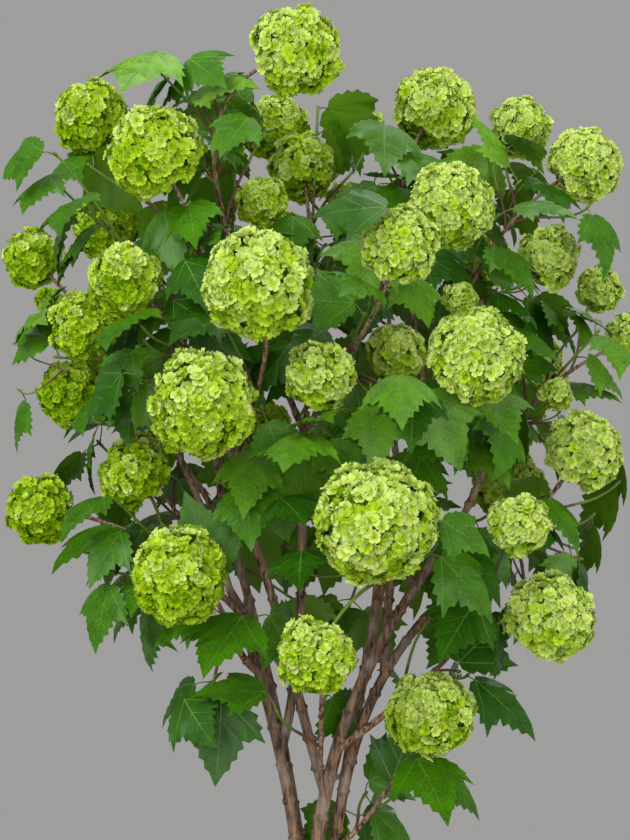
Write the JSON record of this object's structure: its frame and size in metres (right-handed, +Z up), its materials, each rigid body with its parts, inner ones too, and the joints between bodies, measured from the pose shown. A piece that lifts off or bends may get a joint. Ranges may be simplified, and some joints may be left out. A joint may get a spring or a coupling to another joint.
{
  "type": "snowball viburnum",
  "caption": "Young snowball viburnum shrub: fanned woody stems from a flared root crown, lobed green leaves and round lime-green flower heads on an airy vase-shaped crown.",
  "frame": {"origin": "middle of the root crown's flat cut at ground level", "axes": "+Z up, +Y away from the front, +X to the right seen from the front"},
  "size_m": [0.5047, 0.435, 0.7039],
  "materials": {
    "old_bark": "rough grey-brown bark",
    "stem_bark": "smooth brown bark with raised nodes",
    "bough_bark": "dark reddish-brown young bark",
    "foliage": "leaves and round lime-green flower heads",
    "leaf": "satin lobed leaves with pale veins",
    "blossom": "soft lime-green petals",
    "twig": "green young shoots"
  },
  "bodies": {
    "root": {"root_crown": "old_bark", "stem_left": "stem_bark", "stem_middle": "stem_bark", "stem_right": "stem_bark", "stem_back_left": "stem_bark", "stem_back_right": "stem_bark", "stem_centre": "stem_bark", "stem_cross": "stem_bark", "stem_inner": "stem_bark", "bough_crest": "bough_bark", "bough_upper_left": "bough_bark", "bough_upper_middle": "bough_bark", "bough_upper_right": "bough_bark", "bough_right_crest": "bough_bark", "bough_right_side": "bough_bark", "bough_right_middle": "bough_bark", "bough_right_low": "bough_bark", "bough_right_foot": "bough_bark", "bough_low_shoot": "bough_bark", "bough_inner_shoot": "bough_bark", "bough_front_low": "bough_bark", "bough_front_middle": "bough_bark", "bough_front_left": "bough_bark", "bough_left_middle": "bough_bark", "bough_left_side": "bough_bark", "bough_left_low": "bough_bark", "bough_left_foot": "bough_bark", "bough_back_high": "bough_bark", "bough_back_left": "bough_bark", "bough_back_right": "bough_bark", "bough_back_low_left": "bough_bark", "bough_back_low_right": "bough_bark", "mass_crest": "foliage", "mass_upper_left": "foliage", "mass_upper_middle": "foliage", "mass_upper_right": "foliage", "mass_right_crest": "foliage", "mass_right_side": "foliage", "mass_right_middle": "foliage", "mass_right_low": "foliage", "mass_right_foot": "foliage", "mass_low_shoot": "foliage", "mass_inner_shoot": "foliage", "mass_front_low": "foliage", "mass_front_middle": "foliage", "mass_front_left": "foliage", "mass_left_middle": "foliage", "mass_left_side": "foliage", "mass_left_low": "foliage", "mass_left_foot": "foliage", "mass_back_high": "foliage", "mass_back_left": "foliage", "mass_back_right": "foliage", "mass_back_low_left": "foliage", "mass_back_low_right": "foliage"}
  },
  "joints": []
}
